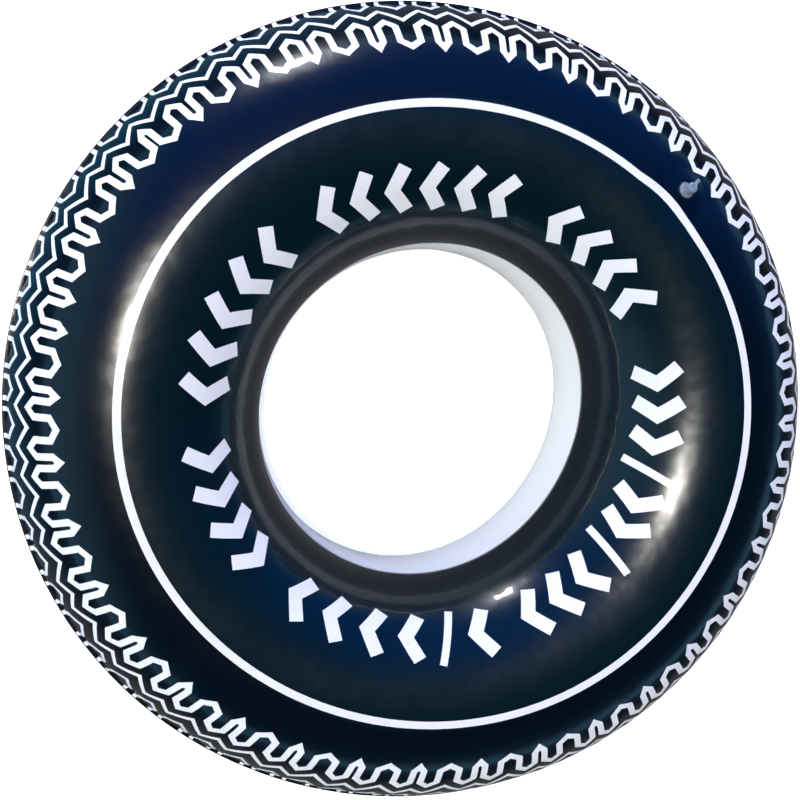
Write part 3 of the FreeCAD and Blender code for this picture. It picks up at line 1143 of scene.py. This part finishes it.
    def collar(self) -> bpy.types.Object:
        """Soft cone between base and stem."""
        neck, foot = self.stem_r + self.collar_gap, self.base_hole
        outer = [(foot, self.collar_low), (foot, -0.5), (foot, 0.0)]
        rise = 10
        for k in range(1, rise + 1):
            t = k / rise
            sag = self.collar_sag * math.sin(math.pi * t)
            outer.append((foot + (neck + self.collar_t - foot) * t - sag, (self.collar_h - 0.5) * t))
        inner = []
        for r, z in outer[::-1]:
            inside = (r if z > 0.2 else foot) - self.collar_t
            inner.append((inside, min(z, self.collar_h - 0.6) - 0.25))
        inner[-1] = (foot - self.collar_t, self.collar_low)
        profile = outer + [(neck + self.collar_t, self.collar_h), (neck, self.collar_h)] + inner
        profile = [(max(r, neck), z) for r, z in profile]
        piece = new_piece("air_valve_collar", *self.lathe(profile), Finish.CLEAR)
        self.register(piece, "valve_collar", None)
        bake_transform(piece)
        return piece

    def build(self) -> None:
        """Builds the valve's pieces and dresses the two that keep their CAD shape."""
        for make in (self.stem, self.plug, self.strap, self.collar):
            make()
        for node in ("valve_flange", "check_flap"):
            shown = frame["nodes"][node]
            shown.data.materials.clear()
            shown.data.materials.append(finish_material(Finish.CLEAR))
            LOG.info("%s keeps its CAD shape", node)


# ---------------------------------------------------------------- the studio


@dataclass
class Studio:
    """Pale floor, soft lights and the camera. Lengths are in metres, angles in degrees."""

    centre: Vector
    camera_lean: float = 16.23
    camera_azimuth: float = 156.6
    camera_distance: float = 1.973
    lens: float = 78.5
    shift_x: float = -0.0273
    shift_y: float = 0.0102
    floor_r: float = 9.0
    floor_drop: float = 0.0006     # keeps the floor clear of the ring's flat underside

    def direction(self, azimuth: float, elevation: float) -> Vector:
        """Unit vector from the ring towards a place in the sky."""
        a, e = math.radians(azimuth), math.radians(elevation)
        return Vector((math.cos(a) * math.cos(e), math.sin(a) * math.cos(e), math.sin(e)))

    def floor(self) -> None:
        """Lays the floor."""
        bpy.ops.mesh.primitive_circle_add(vertices=128, radius=self.floor_r, fill_type="NGON",
                                          location=(0, 0, -self.floor_drop))
        floor = bpy.context.object
        floor.name = "floor"
        floor.data.materials.append(finish_material(Finish.FLOOR))

    def soft_box(self, name: str, azimuth: float, elevation: float, distance: float, size: float,
                 watts: float, colour: str) -> None:
        """Hangs a round soft box that faces the ring."""
        light = bpy.data.lights.new(name, "AREA")
        light.shape, light.size, light.energy = "DISK", size, watts
        light.color = linear(colour)[:3]
        lamp = bpy.data.objects.new(name, light)
        way = self.direction(azimuth, elevation)
        lamp.location = self.centre + way * distance
        lamp.rotation_euler = way.to_track_quat("Z", "Y").to_euler()
        bpy.context.scene.collection.objects.link(lamp)

    def sun(self, azimuth: float, elevation: float, strength: float, spread: float, colour: str) -> None:
        """Adds a soft distant light."""
        light = bpy.data.lights.new("key", "SUN")
        light.energy, light.angle = strength, math.radians(spread)
        light.color = linear(colour)[:3]
        lamp = bpy.data.objects.new("key", light)
        lamp.rotation_euler = self.direction(azimuth, elevation).to_track_quat("Z", "Y").to_euler()
        bpy.context.scene.collection.objects.link(lamp)

    def sky(self, ground: str, layers: Sequence[tuple[str, float, float, str]], strength: float) -> None:
        """Sets a sky of colours that fade into each other.

        Args:
            ground: colour where no layer reaches.
            layers: axis, where the layer starts and where it is full along it, and its colour.
            strength: brightness of the whole.
        """
        world = bpy.data.worlds.new("studio")
        world.use_nodes = True
        bpy.context.scene.world = world
        tree = world.node_tree
        place = add_node(tree, "ShaderNodeTexCoord")
        parts = add_node(tree, "ShaderNodeSeparateXYZ", i0=place.outputs["Generated"])
        shade = add_node(tree, "ShaderNodeRGB")
        shade.outputs[0].default_value = linear(ground)
        mixed = shade.outputs[0]
        for axis, start, full, colour in layers:
            part = add_node(tree, "ShaderNodeMapRange",
                            {"interpolation_type": "SMOOTHSTEP", "From Min": start, "From Max": full},
                            Value=parts.outputs[axis])
            mixed = add_node(tree, "ShaderNodeMix", {"data_type": "RGBA", 7: linear(colour)},
                             i0=part.outputs[0], i6=mixed).outputs[2]
        back = tree.nodes["Background"]
        back.inputs["Strength"].default_value = strength
        tree.links.new(mixed, back.inputs["Color"])

    def camera(self) -> None:
        """Places the camera, turned so that the ring's Y axis stands upright in its view."""
        data = bpy.data.cameras.new("camera")
        data.lens, data.sensor_width = self.lens, 36.0
        data.shift_x, data.shift_y = self.shift_x, self.shift_y
        data.clip_end = 100.0
        camera = bpy.data.objects.new("camera", data)
        back = self.direction(self.camera_azimuth, 90 - self.camera_lean)
        right = Vector((0, 1, 0)).cross(back).normalized()
        up = back.cross(right)
        turn = Matrix((right, up, back)).transposed().to_4x4()
        camera.matrix_world = Matrix.Translation(self.centre + back * self.camera_distance) @ turn
        bpy.context.scene.collection.objects.link(camera)
        bpy.context.scene.camera = camera

    def build(self) -> None:
        """Builds the studio."""
        self.camera()
        self.floor()
        self.sky("#06202B", [("Y", -0.2, 0.8, "#0052BC"), ("X", -0.45, -0.95, "#6C9BB2"),
                             ("Z", 0.2, 0.03, "#6FA9D0")], strength=2.0)
        self.sun(azimuth=166, elevation=76.0, strength=3.0, spread=5.0, colour="#FFFAF0")
        self.soft_box("side_box", azimuth=99, elevation=10, distance=3.0, size=0.34, watts=26.0,
                      colour="#FFFFFF")
        bpy.context.scene.view_settings.view_transform = "Standard"


# ---------------------------------------------------------------- assembly


def valve_from_frame() -> AirValve:
    """Reads the valve's place and directions from the frame's joints."""
    joints = {j["name"]: j for j in frame["joints"]}
    out = -Vector(joints["stem_press"]["axis"]).normalized()
    across = Vector(joints["plug_swing"]["axis"]).normalized()
    rimward = across.cross(out)
    hinge = Vector(joints["plug_swing"]["pos_m"]) / MM
    origin = hinge - rimward * AirValve.hinge_x - out * AirValve.hinge_z
    return AirValve(origin, rimward, across, out)


def tube_from_frame() -> Tube:
    """Reads the tube's driving sizes from the frame's boxes and mounts."""
    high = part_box("top_sheet")[1]
    mounts = {m["name"]: m for m in frame["record"]["mounts"]}
    throat, underside = mounts["throat"], mounts["underside"]
    return Tube(outer_r=high[0] / MM, height=high[2] / MM, crest_r=underside["pos_m"][0] / MM,
                waist_r=throat["dims"]["r_mm"], waist_z=throat["pos_m"][2] / MM)


def main() -> None:
    """Builds the ring, its print, its valve and the studio."""
    logging.basicConfig(level=logging.INFO, format="%(name)s: %(message)s")
    tube = tube_from_frame()
    valve = valve_from_frame()
    top = Skin(tube, tube.top_section(), seed=3)
    tube.valve_r = math.hypot(valve.origin.x, valve.origin.y)
    tube.valve_s = top.s_at(tube.valve_r)
    tube.valve_angle = math.atan2(valve.origin.y, valve.origin.x)
    bottom = Skin(tube, tube.bottom_section(), seed=5)
    FilmSheet("black_top_film", top, Finish.BLACK_FILM, "top_sheet", "black_vinyl",
              hole_r=valve.sheet_hole).build()
    FilmSheet("white_back_film", bottom, Finish.WHITE_FILM, "bottom_sheet", "white_vinyl").build()
    Print(top).build()
    valve.build()
    Studio(centre=Vector((0, 0, tube.mid * MM))).build()


if __name__ == "__main__":
    main()
